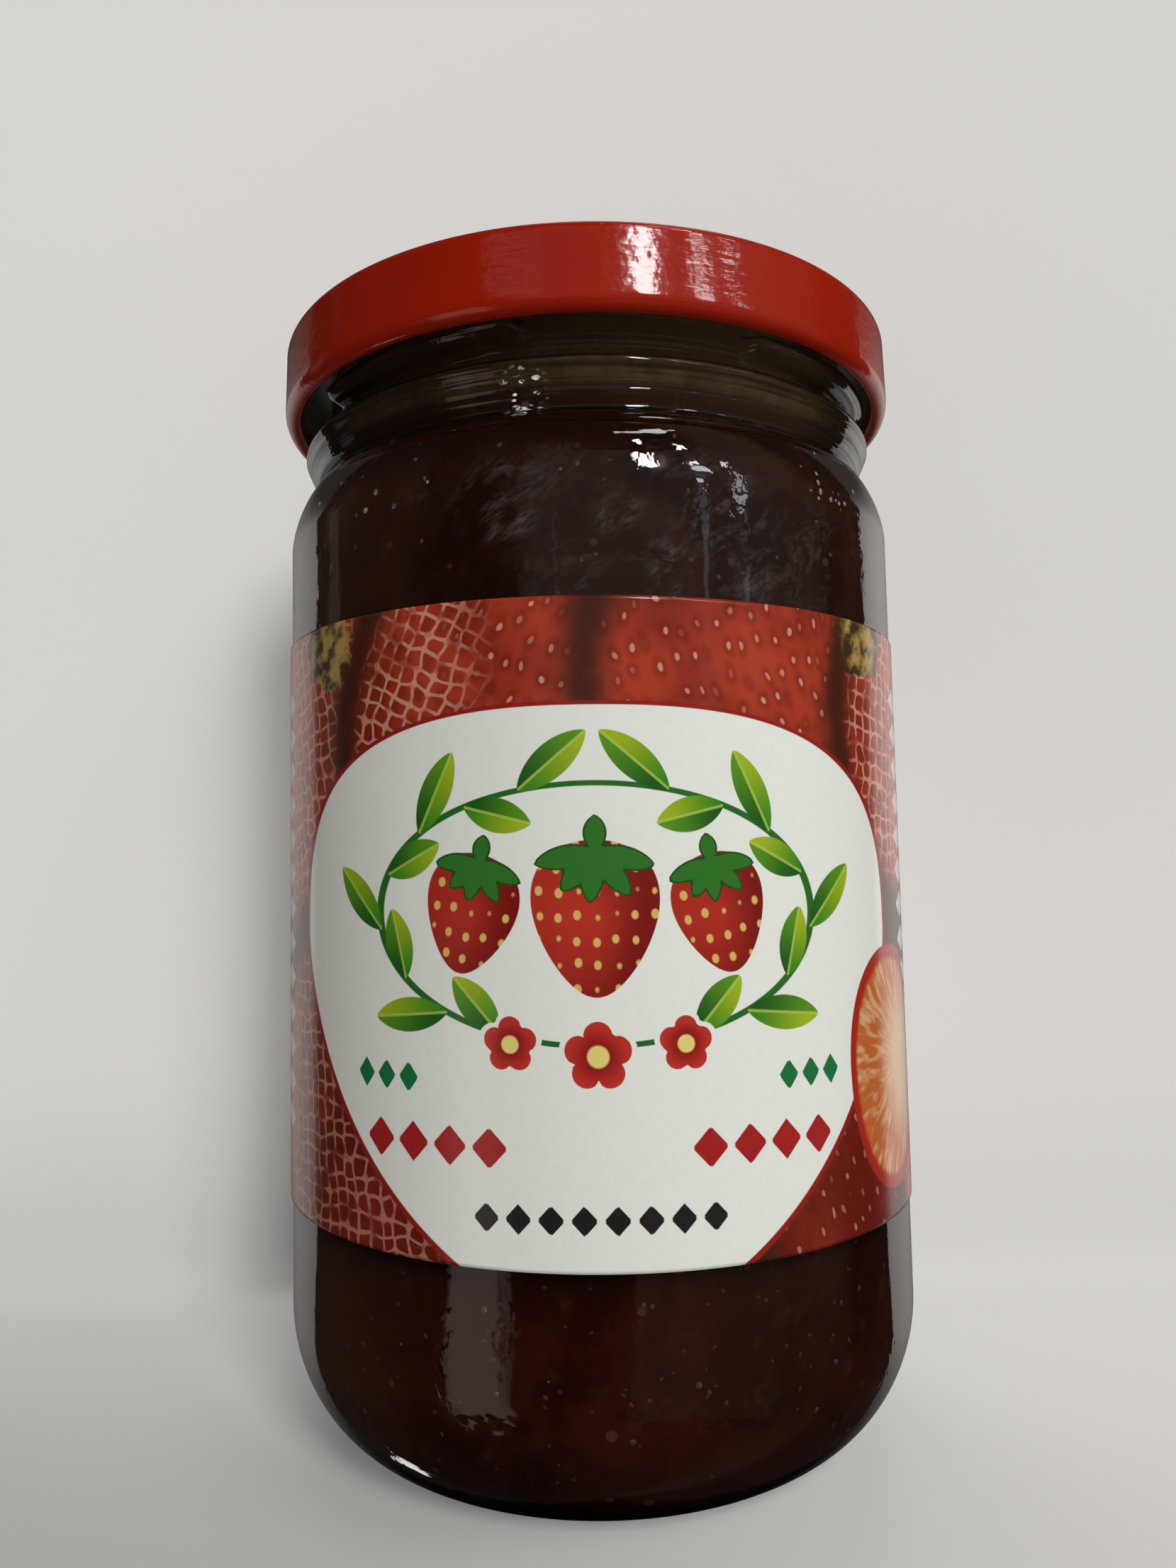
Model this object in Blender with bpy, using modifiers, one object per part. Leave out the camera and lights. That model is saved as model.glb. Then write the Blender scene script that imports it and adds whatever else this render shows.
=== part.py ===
"""Jam jar with a red twist-off lid: glass jar, fill of jam, wrap-round label and lid.

Run with: blender --background --python part.py
Metres, +Z up. The origin is on the floor, under the middle of the jar.
Every piece is turned about Z, apart from the four thread lugs on the neck.
"""

import math

import bmesh
import bpy

MM = 0.001

# Turning
STEPS = 72
MERGE = 0.00001
CLEARANCE = 0.3 * MM

# Glass: body, heel and base
BODY_RADIUS = 42.0 * MM
WALL = 2.8 * MM
HEEL_HEIGHT = 17.0 * MM
HEEL_EXPONENT = 1.9
BASE_RING_OUTER = 29.0 * MM
BASE_RING_INNER = 25.5 * MM
PUSH_UP_RADIUS = 21.0 * MM
PUSH_UP_HEIGHT = 2.0 * MM
FLOOR_THICKNESS = 4.2 * MM
INNER_HEEL_RADIUS = 14.0 * MM

# Glass: shoulder and neck
SHOULDER_FOOT = 117.0 * MM
SHOULDER_TOP = 125.7 * MM
SHOULDER_EXPONENT = 1.54
GROOVE_RADIUS = 37.65 * MM
GROOVE_SLOPE = 0.3 * MM
GROOVE_HEIGHT = 0.5 * MM
BEAD_FOOT_RADIUS = 38.6 * MM
BEAD_FOOT = 126.8 * MM
BEAD_RADIUS = 40.1 * MM
BEAD_EDGE = 130.1 * MM
BEAD_TOP = 131.2 * MM
BEAD_ROUND = 1.0 * MM
NECK_FILLET = 1.6 * MM
NECK_RADIUS = 36.7 * MM
NECK_BORE = 34.2 * MM
RIM_HEIGHT = 143.3 * MM
INNER_SHOULDER_FOOT = 114.5 * MM
INNER_SHOULDER_TOP = 125.5 * MM
INNER_SHOULDER_EXPONENT = 1.7

# Thread lugs
LUGS = 4
LUG_SPAN = math.radians(48)
LUG_FIRST_END = math.radians(-59)
LUG_CENTRE_RADIUS = 37.6 * MM
LUG_THICKNESS = 2.2 * MM
LUG_HEIGHT = 134.9 * MM
LUG_RISE = 0.6 * MM
LUG_POINTS = 11
LUG_TIP_SHARE = 0.5

# Jam
JAM_LEVEL = 138.5 * MM
JAM_EDGE_WIDTH = 3.0 * MM
JAM_EDGE_CLIMB = 0.8 * MM

# Label
LABEL_FOOT = 30.7 * MM
LABEL_HEIGHT = 72.0 * MM
LABEL_THICKNESS = 0.3 * MM

# Lid
LID_TOP = 145.2 * MM
LID_FOOT = 134.9 * MM
LID_RADIUS = 42.7 * MM
LID_FOOT_RADIUS = 42.9 * MM
LID_CORNER = 1.1 * MM
LID_SHEET = 0.7 * MM
LID_UNDERSIDE = RIM_HEIGHT + CLEARANCE
CURL_HALF_WIDTH = 1.25 * MM
CURL_HALF_HEIGHT = 1.7 * MM
RIDGE_WIDTH = 4.2 * MM
RIDGE_SLOPE = 1.1 * MM
RIDGE_ROUND = 0.4 * MM
PANEL_DROP = 0.5 * MM
BUTTON_RADIUS = 12.0 * MM
BUTTON_SLOPE = 1.5 * MM
BUTTON_DROP = 0.35 * MM
INSIDE_ROUND = 0.8 * MM


def quarter(centre, half_r, half_z, count, start=90.0, end=0.0, exponent=2.0):
    """Points of a quarter superellipse in the (radius, height) plane, between two angles in degrees."""
    points = []
    for i in range(count):
        angle = math.radians(start + (end - start) * i / (count - 1))
        across, up = math.cos(angle), math.sin(angle)
        r = centre[0] + half_r * math.copysign(abs(across) ** (2 / exponent), across)
        z = centre[1] + half_z * math.copysign(abs(up) ** (2 / exponent), up)
        points.append((r, z))
    return points


def glass_outline():
    """The jar's wall from the middle of its inner floor, up over the rim and down the outside."""
    bore = BODY_RADIUS - WALL
    inner_floor = PUSH_UP_HEIGHT + FLOOR_THICKNESS
    inner_floor_edge = bore - INNER_HEEL_RADIUS
    rim = (NECK_RADIUS - NECK_BORE) / 2

    inside = [(0.0, inner_floor)]
    inside += quarter((inner_floor_edge, inner_floor + INNER_HEEL_RADIUS),
                      INNER_HEEL_RADIUS, INNER_HEEL_RADIUS, 7, start=-90)
    inside += quarter((NECK_BORE, INNER_SHOULDER_FOOT), bore - NECK_BORE,
                      INNER_SHOULDER_TOP - INNER_SHOULDER_FOOT, 6, start=0, end=90,
                      exponent=INNER_SHOULDER_EXPONENT)
    top = quarter((NECK_BORE + rim, RIM_HEIGHT - rim), rim, rim, 7, start=180, end=0)
    bead = quarter((NECK_RADIUS + NECK_FILLET, BEAD_TOP + NECK_FILLET), NECK_FILLET, NECK_FILLET, 3,
                   start=180, end=270)
    bead += quarter((BEAD_RADIUS - BEAD_ROUND, BEAD_EDGE), BEAD_ROUND, BEAD_TOP - BEAD_EDGE, 4)
    bead += [(BEAD_FOOT_RADIUS, BEAD_FOOT), (GROOVE_RADIUS + GROOVE_SLOPE, SHOULDER_TOP + GROOVE_HEIGHT)]
    shoulder = quarter((GROOVE_RADIUS, SHOULDER_FOOT), BODY_RADIUS - GROOVE_RADIUS,
                       SHOULDER_TOP - SHOULDER_FOOT, 9, exponent=SHOULDER_EXPONENT)
    heel = quarter((BASE_RING_OUTER, HEEL_HEIGHT), BODY_RADIUS - BASE_RING_OUTER,
                   HEEL_HEIGHT, 10, start=0, end=-90, exponent=HEEL_EXPONENT)
    base = [(BASE_RING_INNER, 0.0), (PUSH_UP_RADIUS, PUSH_UP_HEIGHT * 0.75), (0.0, PUSH_UP_HEIGHT)]
    return inside + top + bead + shoulder + heel + base


def jam_outline():
    """The fill, one clearance inside the glass, from the middle of its surface down to its foot."""
    bore = BODY_RADIUS - WALL
    side = bore - CLEARANCE
    neck = NECK_BORE - CLEARANCE
    foot = PUSH_UP_HEIGHT + FLOOR_THICKNESS + CLEARANCE
    corner = INNER_HEEL_RADIUS - CLEARANCE
    surface = [(0.0, JAM_LEVEL), (neck - JAM_EDGE_WIDTH, JAM_LEVEL), (neck, JAM_LEVEL + JAM_EDGE_CLIMB)]
    shoulder = quarter((neck, INNER_SHOULDER_FOOT), side - neck,
                       INNER_SHOULDER_TOP - INNER_SHOULDER_FOOT, 6, exponent=INNER_SHOULDER_EXPONENT)
    heel = quarter((side - corner, foot + corner), corner, corner, 7, start=0, end=-90)
    return surface + shoulder + heel + [(0.0, foot)]


def lid_outline():
    """The lid from the middle of its top, down the skirt, round the curl and back under the panel."""
    panel = LID_TOP - PANEL_DROP
    ridge_inner = LID_RADIUS - RIDGE_WIDTH
    curl = (LID_FOOT_RADIUS - CURL_HALF_WIDTH, LID_FOOT + CURL_HALF_HEIGHT)
    inner = LID_RADIUS - LID_SHEET

    top = [
        (0.0, panel - BUTTON_DROP),
        (BUTTON_RADIUS - BUTTON_SLOPE, panel - BUTTON_DROP),
        (BUTTON_RADIUS, panel),
        (ridge_inner - RIDGE_SLOPE - RIDGE_ROUND, panel),
        (ridge_inner - RIDGE_ROUND, LID_TOP - RIDGE_ROUND / 4),
        (ridge_inner + RIDGE_ROUND, LID_TOP),
    ]
    corner = quarter((LID_RADIUS - LID_CORNER, LID_TOP - LID_CORNER), LID_CORNER, LID_CORNER, 5)
    roll = quarter(curl, CURL_HALF_WIDTH, CURL_HALF_HEIGHT, 8, start=0, end=-180)
    inside = [
        (inner - CURL_HALF_WIDTH / 3, curl[1] + CURL_HALF_HEIGHT * 0.75),
        (inner, curl[1] + CURL_HALF_HEIGHT * 1.3),
        (inner, LID_UNDERSIDE - INSIDE_ROUND),
        (inner - INSIDE_ROUND, LID_UNDERSIDE),
        (0.0, LID_UNDERSIDE),
    ]
    return top + corner + roll + inside


def label_outline():
    """The label's closed section, down its outer face and up its inner one."""
    inner = BODY_RADIUS + CLEARANCE
    outer = inner + LABEL_THICKNESS
    top = LABEL_FOOT + LABEL_HEIGHT
    return [(outer, top), (outer, LABEL_FOOT), (inner, LABEL_FOOT), (inner, top), (outer, top)]


def plain_material(name, colour, roughness, clear=0.0):
    material = bpy.data.materials.new(name)
    material.use_nodes = True
    shader = material.node_tree.nodes["Principled BSDF"]
    shader.inputs["Base Color"].default_value = (*colour, 1.0)
    shader.inputs["Roughness"].default_value = roughness
    shader.inputs["Metallic"].default_value = 0.0
    shader.inputs["Transmission Weight"].default_value = clear
    return material


def turned(name, outline, collection, material):
    """A profile turned once about Z, top to bottom down its outer side."""
    mesh = bpy.data.meshes.new(name)
    edges = [(i, i + 1) for i in range(len(outline) - 1)]
    mesh.from_pydata([(r, 0.0, z) for r, z in outline], edges, [])
    piece = bpy.data.objects.new(name, mesh)
    piece.data.materials.append(material)
    collection.objects.link(piece)
    screw = piece.modifiers.new("Turn", "SCREW")
    screw.steps = screw.render_steps = STEPS
    screw.use_merge_vertices = True
    screw.merge_threshold = MERGE
    screw.use_smooth_shade = True
    return piece


def lug_bar(index, collection):
    """One thread lug: a rounded bar along an arc of the neck, thinner at its tips and rising to the right."""
    curve = bpy.data.curves.new(f"lug_{index + 1}", "CURVE")
    curve.dimensions = "3D"
    curve.bevel_depth = LUG_THICKNESS
    curve.bevel_resolution = 2
    curve.use_fill_caps = True
    spline = curve.splines.new("POLY")
    spline.points.add(LUG_POINTS - 1)
    start = LUG_FIRST_END + index * math.tau / LUGS
    for i, point in enumerate(spline.points):
        share = i / (LUG_POINTS - 1)
        angle = start + share * LUG_SPAN
        point.co = (LUG_CENTRE_RADIUS * math.sin(angle), -LUG_CENTRE_RADIUS * math.cos(angle),
                    LUG_HEIGHT + share * LUG_RISE, 1.0)
        point.radius = LUG_TIP_SHARE + (1 - LUG_TIP_SHARE) * math.sin(math.pi * share) ** 0.5
    drawn = bpy.data.objects.new(curve.name + "_curve", curve)
    collection.objects.link(drawn)
    bpy.context.view_layer.update()

    graph = bpy.context.evaluated_depsgraph_get()
    mesh = bpy.data.meshes.new_from_object(drawn.evaluated_get(graph))
    solid = bmesh.new()
    solid.from_mesh(mesh)
    bmesh.ops.remove_doubles(solid, verts=solid.verts, dist=MERGE)
    bmesh.ops.recalc_face_normals(solid, faces=solid.faces)
    solid.to_mesh(mesh)
    solid.free()
    lug = bpy.data.objects.new(curve.name, mesh)
    lug.matrix_world = drawn.matrix_world
    lug.hide_render = True
    lug.display_type = "WIRE"
    collection.objects.link(lug)
    bpy.data.objects.remove(drawn)


def make_glass(parts, helpers):
    glass = turned("glass_jar", glass_outline(), parts,
                   plain_material("clear glass", (0.92, 0.95, 0.94), 0.03, clear=1.0))
    for index in range(LUGS):
        lug_bar(index, helpers)
    union = glass.modifiers.new("Thread lugs", "BOOLEAN")
    union.operation = "UNION"
    union.operand_type = "COLLECTION"
    union.collection = helpers


def main():
    for old in list(bpy.data.objects):
        bpy.data.objects.remove(old)
    scene = bpy.context.scene
    parts = bpy.data.collections.new("jam_jar")
    helpers = bpy.data.collections.new("lug_shapes")
    scene.collection.children.link(parts)
    scene.collection.children.link(helpers)

    make_glass(parts, helpers)
    turned("jam", jam_outline(), parts, plain_material("dark red jam", (0.07, 0.008, 0.004), 0.2))
    turned("label", label_outline(), parts, plain_material("glossy paper", (0.55, 0.03, 0.02), 0.3))
    turned("lid", lid_outline(), parts, plain_material("red lacquer", (0.5, 0.03, 0.01), 0.22))


main()
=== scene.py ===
"""A jar of dark red jam with a red lid: the looks.

Sizes are in millimetres and angles in degrees, until a mesh is made in metres. Materials
read places in metres. The jar stands on the floor with its axis on Z. Azimuth is measured
round it from the front (-Y) towards the right (+X).
"""

import bpy
import numpy as np
from mathutils import Matrix, Vector


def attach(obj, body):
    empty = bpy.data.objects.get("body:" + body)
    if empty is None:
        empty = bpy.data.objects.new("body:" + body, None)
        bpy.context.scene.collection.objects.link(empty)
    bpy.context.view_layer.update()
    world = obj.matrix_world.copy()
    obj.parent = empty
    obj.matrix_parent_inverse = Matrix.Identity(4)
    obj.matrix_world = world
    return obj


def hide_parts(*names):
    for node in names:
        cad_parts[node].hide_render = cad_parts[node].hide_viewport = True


MM = 0.001
SAME_POINT = 0.004

# Glass
BODY_RADIUS = 42.0
WALL = 2.8
HEEL_HEIGHT = 17.0
HEEL_EXPONENT = 1.9
BASE_RING_OUTER = 29.0
BASE_RING_INNER = 25.5
PUSH_UP_RADIUS = 21.0
PUSH_UP_HEIGHT = 2.0
FLOOR_THICKNESS = 4.2
INNER_HEEL_RADIUS = 14.0
SHOULDER_FOOT = 117.0
SHOULDER_TOP = 125.7
SHOULDER_EXPONENT = 1.54
GROOVE_RADIUS = 37.65
BEAD_FOOT_RADIUS = 38.6
BEAD_FOOT = 126.8
BEAD_RADIUS = 40.1
BEAD_EDGE = 130.1
BEAD_TOP = 131.2
BEAD_ROUND = 1.0
NECK_FILLET = 1.6
NECK_RADIUS = 36.7
NECK_BORE = 35.0
RIM_HEIGHT = 143.3
INNER_SHOULDER_FOOT = 117.0
INNER_SHOULDER_TOP = 125.8
INNER_SHOULDER_EXPONENT = 1.7
GLASS_COLUMNS = 320

# Thread lugs
LUGS = 4
LUG_SPAN = 48.0
LUG_FIRST_END = -59.0
LUG_REACH = 3.1
LUG_THICKNESS = 2.2
LUG_HEIGHT = 134.9
LUG_RISE = 0.6

# Jam
JAM_LEVEL = 138.5
JAM_EDGE_WIDTH = 3.0
JAM_EDGE_CLIMB = 0.8
INTO_WALL = 0.15
JAM_HEEL_WIDTH = 12.0
JAM_HEEL_HEIGHT = 14.4
JAM_HEEL_SINK = 3.0
JAM_HEEL_EXPONENT = 2.6
JAM_COLUMNS = 192

# Label
LABEL_RADIUS = 42.3
PAPER = 0.25
LABEL_FOOT = 30.7
LABEL_HEIGHT = 72.0
LABEL_SKEW = 0.7
LABEL_OVERLAP = 7.0
LABEL_END_PROUD = 0.12
LABEL_ROWS = 181

# Lid
LID_TOP = 145.2
LID_FOOT = 134.9
LID_RADIUS = 42.7
LID_FOOT_RADIUS = 42.9
LID_CORNER = 1.1
LID_SHEET = 0.7
LID_UNDERSIDE = 143.6
CURL_HALF_WIDTH = 1.25
CURL_HALF_HEIGHT = 1.7
RIDGE_WIDTH = 4.2
RIDGE_SLOPE = 1.1
PANEL_DROP = 0.5
BUTTON_RADIUS = 12.0
BUTTON_SLOPE = 1.5
BUTTON_DROP = 0.35
LID_COLUMNS = 288

# Places that the materials of glass and jam look for, in metres
# Where the painted glints on the bead glow, and how far they reach
PAINTED_GLINT_PLACE = (-0.0070, -0.0385, 0.1272)
PAINTED_GLINT_REACH = (0.0034, 0.0014)
MOULD_SEAM = 0.0005
NECK_FOOT = 0.1225
# Where the painted smear sheen is thickest, and how far it reaches
SMEAR_SHEEN_PLACES = (((0.0085, -0.038, 0.1058), 0.0058), ((0.0035, -0.039, 0.1125), 0.0045),
                ((-0.009, -0.038, 0.1125), 0.0050))

# Camera
PHOTO_HEIGHT = 2212
FOCAL_PIXELS = 1616.06
CAMERA_PLACE = (0.0, -165.2, 73.3)
CAMERA_YAW = 0.2466
CAMERA_PITCH = 4.0827
CAMERA_ROLL = 1.1105

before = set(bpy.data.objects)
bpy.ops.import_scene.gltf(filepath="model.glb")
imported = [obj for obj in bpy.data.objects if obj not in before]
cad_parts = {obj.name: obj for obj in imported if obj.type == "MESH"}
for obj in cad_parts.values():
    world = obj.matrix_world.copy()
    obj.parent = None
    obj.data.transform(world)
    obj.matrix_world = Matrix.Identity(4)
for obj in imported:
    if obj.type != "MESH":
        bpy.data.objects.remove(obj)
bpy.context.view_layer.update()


# Profiles: arrays of (radius, height)

def quarter(centre, half_r, half_z, count, start=90.0, end=0.0, exponent=2.0):
    """r = c + a sgn(cos t) |cos t|^p, z = d + b sgn(sin t) |sin t|^p, where p = 2 / exponent.

    t runs from start to end, in count steps.
    """
    t = np.radians(np.linspace(start, end, count))
    r = centre[0] + half_r * np.sign(np.cos(t)) * np.abs(np.cos(t)) ** (2 / exponent)
    z = centre[1] + half_z * np.sign(np.sin(t)) * np.abs(np.sin(t)) ** (2 / exponent)
    return np.stack([r, z], axis=1)


def straight(start, end, count):
    """Evenly spaced points from start to end, both included."""
    return np.linspace(start, end, count)


def joined(*runs):
    """The runs one after the other, without points that fall on the one before."""
    points = np.concatenate([np.atleast_2d(run) for run in runs])
    step = np.linalg.norm(np.diff(points, axis=0), axis=1)
    return points[np.concatenate([[True], step > SAME_POINT])]


def rounded(points, passes):
    """Corners cut at a quarter and three quarters of each side, as often as passes says."""
    for _ in range(passes):
        a, b = points[:-1], points[1:]
        cut = np.stack([0.75 * a + 0.25 * b, 0.25 * a + 0.75 * b], axis=1).reshape(-1, 2)
        points = np.concatenate([points[:1], cut, points[-1:]])
    return points


# Meshes

def added(name, points, faces):
    """A smooth mesh of points given in millimetres, in an object of its own."""
    mesh = bpy.data.meshes.new(name)
    mesh.from_pydata(points.reshape(-1, 3) * MM, [], faces)
    mesh.shade_smooth()
    piece = bpy.data.objects.new(name, mesh)
    bpy.context.scene.collection.objects.link(piece)
    return piece


def turned(name, outline, angles, closed=False, swell=None):
    """x = r sin(a), y = -r cos(a), z = h, for each angle a and each (r, h) of the outline.

    The outline runs down the outer side. It starts and ends on the axis, or is closed
    round a ring. swell(a, r, h) gives the radius and height that are used instead.
    """
    if not closed:
        top, foot = outline[0, 1], outline[-1, 1]
        outline = outline[1:-1]
    a, r = np.meshgrid(np.radians(angles), outline[:, 0])
    h = np.repeat(outline[:, 1][:, None], len(angles), axis=1)
    if swell is not None:
        r, h = swell(a, r, h)
    grid = np.stack([r * np.sin(a), -r * np.cos(a), h], axis=-1).reshape(-1, 3)
    rows, columns = len(outline), len(angles)
    i = np.arange(rows if closed else rows - 1)[:, None]
    j = np.arange(columns)[None, :]
    below, beside = (i + 1) % rows, (j + 1) % columns
    quads = np.stack([i * columns + j, below * columns + j, below * columns + beside,
                      i * columns + beside], axis=-1).reshape(-1, 4)
    faces = quads.tolist()
    if not closed:
        grid = np.concatenate([grid, [[0, 0, top], [0, 0, foot]]])
        j, beside = j.ravel(), beside.ravel()
        last = (rows - 1) * columns
        faces += np.stack([np.full(columns, rows * columns), j, beside], 1).tolist()
        faces += np.stack([np.full(columns, rows * columns + 1), last + beside, last + j],
                          1).tolist()
    return added(name, grid, faces)


def even_angles(count):
    return np.arange(count) * 360.0 / count


# Node trees

def feed(tree, made, sockets):
    """Gives each of a node's inputs a plain value, or another node's output to read."""
    for key, value in sockets.items():
        if isinstance(value, bpy.types.NodeSocket):
            tree.links.new(value, made.inputs[key])
        else:
            made.inputs[key].default_value = value
    return made


def node(tree, kind, sockets=None, **settings):
    """A shader node with its settings made and its sockets fed."""
    made = tree.nodes.new("ShaderNode" + kind)
    for key, value in settings.items():
        setattr(made, key, value)
    return feed(tree, made, sockets or {})


def sums(tree, operation, *values, clamp=False):
    """A Math node's result."""
    return node(tree, "Math", dict(enumerate(values)), operation=operation,
                use_clamp=clamp).outputs[0]


def times(tree, first, *others):
    """The product of two or more values."""
    for other in others:
        first = sums(tree, "MULTIPLY", first, other)
    return first


def colour(red, green, blue):
    return (red, green, blue, 1.0)


def blended(tree, share, first, second):
    """The colour that lies share of the way from first to second."""
    first, second = [value if isinstance(value, bpy.types.NodeSocket) else colour(*value)
                     for value in (first, second)]
    return node(tree, "Mix", {0: share, 6: first, 7: second}, data_type="RGBA").outputs[2]


def ramp(tree, value, low, high, start=0.0, end=1.0):
    """Smooth step of value from start at low to end at high."""
    return node(tree, "MapRange", {"Value": value, "From Min": low, "From Max": high,
                                   "To Min": start, "To Max": end},
                interpolation_type="SMOOTHSTEP").outputs[0]


def graded(tree, value, low, high, first, second):
    """From the first colour, where value is at low, to the second, where it is at high."""
    return blended(tree, ramp(tree, value, low, high), first, second)


def object_place(tree):
    return node(tree, "TexCoord").outputs["Object"]


def parts_of(tree, vector):
    return node(tree, "SeparateXYZ", {"Vector": vector}).outputs


def apart_from(tree, place, middle):
    apart = node(tree, "VectorMath", {0: place, 1: middle}, operation="DISTANCE")
    return apart.outputs["Value"]


def noise(tree, place, scale, detail=2.0, **more):
    """A Noise texture's value. more gives its other inputs by name."""
    return node(tree, "TexNoise", {"Vector": place, "Scale": scale, "Detail": detail,
                                   **more}).outputs[0]


def stretched(tree, place, scale):
    return node(tree, "Mapping", {"Vector": place, "Scale": scale}).outputs[0]


def bumped(tree, height, strength, distance, under=None):
    """A Bump node's normal, on top of the normal under where one is given."""
    sockets = {"Height": height, "Strength": strength, "Distance": distance}
    if under is not None:
        sockets["Normal"] = under
    return node(tree, "Bump", sockets).outputs[0]


def effect(name, inputs, outputs):
    """An empty node group with its sockets, its input node and its output node."""
    group = bpy.data.node_groups.new(name, "ShaderNodeTree")
    for label, kind, value in inputs:
        socket = group.interface.new_socket(label, in_out="INPUT", socket_type="NodeSocket" + kind)
        if value is not None:
            socket.default_value = value
    for label, kind in outputs:
        group.interface.new_socket(label, in_out="OUTPUT", socket_type="NodeSocket" + kind)
    return group, group.nodes.new("NodeGroupInput").outputs, group.nodes.new("NodeGroupOutput")


def placed(tree, group, sockets):
    """The outputs of a node group placed in a tree, with its own values."""
    return node(tree, "Group", sockets, node_tree=group).outputs


def finish_material(name, constants):
    """A material with its Principled shader, and the shader's plain values set."""
    material = bpy.data.materials.new(name)
    material.use_nodes = True
    # What glows here is too faint to light anything else
    material.cycles.emission_sampling = "NONE"
    tree = material.node_tree
    return material, tree, feed(tree, tree.nodes["Principled BSDF"], constants)


def soft_patch_effect():
    """1 inside a box of azimuth and elevation, falling to 0 over the softness round it."""
    group, given, result = effect(
        "soft patch",
        [("Azimuth", "Float", 0.0), ("Elevation", "Float", 0.0), ("Middle azimuth", "Float", 0.0),
         ("Middle elevation", "Float", 0.0), ("Half width", "Float", 5.0),
         ("Half height", "Float", 5.0), ("Softness", "Float", 2.0)],
        [("Mask", "Float")])
    across = sums(group, "SUBTRACT", given["Azimuth"], given["Middle azimuth"])
    across = sums(group, "WRAP", across, 180.0, -180.0)
    up = sums(group, "SUBTRACT", given["Elevation"], given["Middle elevation"])
    over = [sums(group, "MAXIMUM", sums(group, "SUBTRACT", sums(group, "ABSOLUTE", value),
                                        given[half]), 0.0)
            for value, half in ((across, "Half width"), (up, "Half height"))]
    squares = sums(group, "ADD", *(times(group, value, value) for value in over))
    share = sums(group, "DIVIDE", sums(group, "SQRT", squares), given["Softness"])
    group.links.new(ramp(group, share, 0.0, 1.0, 1.0, 0.0), result.inputs["Mask"])
    return group


def speckle_effect():
    """Small round spots of uneven size in the cells of a Voronoi texture, some cells left empty."""
    group, given, result = effect(
        "speckle",
        [("Place", "Vector", None), ("Scale", "Float", 500.0), ("Size", "Float", 0.3),
         ("Share", "Float", 0.5)],
        [("Mask", "Float")])
    cells = node(group, "TexVoronoi", {"Vector": given["Place"], "Scale": given["Scale"]})
    drawn = node(group, "SeparateColor", {"Color": cells.outputs["Color"]}).outputs
    size = times(group, given["Size"], sums(group, "ADD", 0.4, drawn["Green"]))
    away = sums(group, "DIVIDE", cells.outputs["Distance"], size)
    kept = sums(group, "LESS_THAN", drawn["Red"], given["Share"])
    group.links.new(times(group, ramp(group, away, 0.6, 1.0, 1.0, 0.0), kept),
                    result.inputs["Mask"])
    return group


SOFT_PATCH = soft_patch_effect()
SPECKLE = speckle_effect()


# Glass jar

def glass_outline():
    """The jar's wall from the middle of its inner floor, up over the rim and down the outside."""
    bore = BODY_RADIUS - WALL
    inner_floor = PUSH_UP_HEIGHT + FLOOR_THICKNESS
    flat = bore - INNER_HEEL_RADIUS
    rim = (NECK_RADIUS - NECK_BORE) / 2
    inside = joined(
        [(0.0, inner_floor)], straight((6.0, inner_floor), (flat, inner_floor), 4),
        quarter((flat, inner_floor + INNER_HEEL_RADIUS), INNER_HEEL_RADIUS, INNER_HEEL_RADIUS,
                12, start=-90),
        quarter((NECK_BORE, INNER_SHOULDER_FOOT), bore - NECK_BORE,
                INNER_SHOULDER_TOP - INNER_SHOULDER_FOOT, 12, start=0, end=90,
                exponent=INNER_SHOULDER_EXPONENT),
        straight((NECK_BORE, INNER_SHOULDER_TOP + 2), (NECK_BORE, RIM_HEIGHT - rim), 4),
        quarter((NECK_BORE + rim, RIM_HEIGHT - rim), rim, rim, 11, start=180, end=0))
    shoulder = quarter((GROOVE_RADIUS, SHOULDER_FOOT), BODY_RADIUS - GROOVE_RADIUS,
                       SHOULDER_TOP - SHOULDER_FOOT, 30, start=88, exponent=SHOULDER_EXPONENT)
    neck = joined(
        straight((NECK_RADIUS, RIM_HEIGHT - rim - 0.4), (NECK_RADIUS, BEAD_TOP + NECK_FILLET), 40),
        quarter((NECK_RADIUS + NECK_FILLET, BEAD_TOP + NECK_FILLET), NECK_FILLET, NECK_FILLET, 8,
                start=180, end=270),
        quarter((BEAD_RADIUS - BEAD_ROUND, BEAD_EDGE), BEAD_ROUND, BEAD_TOP - BEAD_EDGE, 9),
        rounded(np.array([(BEAD_RADIUS, BEAD_EDGE), (BEAD_FOOT_RADIUS + 0.25, BEAD_FOOT + 0.5),
                          (BEAD_FOOT_RADIUS - 0.2, BEAD_FOOT - 0.1),
                          (GROOVE_RADIUS + 0.1, SHOULDER_TOP + 0.35), shoulder[0]]), 3))
    heel = quarter((BASE_RING_OUTER, HEEL_HEIGHT), BODY_RADIUS - BASE_RING_OUTER,
                   HEEL_HEIGHT, 34, start=0, end=-90, exponent=HEEL_EXPONENT)
    base = joined(rounded(np.array([(BASE_RING_OUTER, 0.0), (BASE_RING_INNER, 0.0),
                                    (PUSH_UP_RADIUS, PUSH_UP_HEIGHT * 0.75),
                                    (12.0, PUSH_UP_HEIGHT)]), 2), [(0.0, PUSH_UP_HEIGHT)])
    return joined(inside, neck, shoulder,
                  straight((BODY_RADIUS, 110.0), (BODY_RADIUS, 25.0), 8), heel, base)


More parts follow.
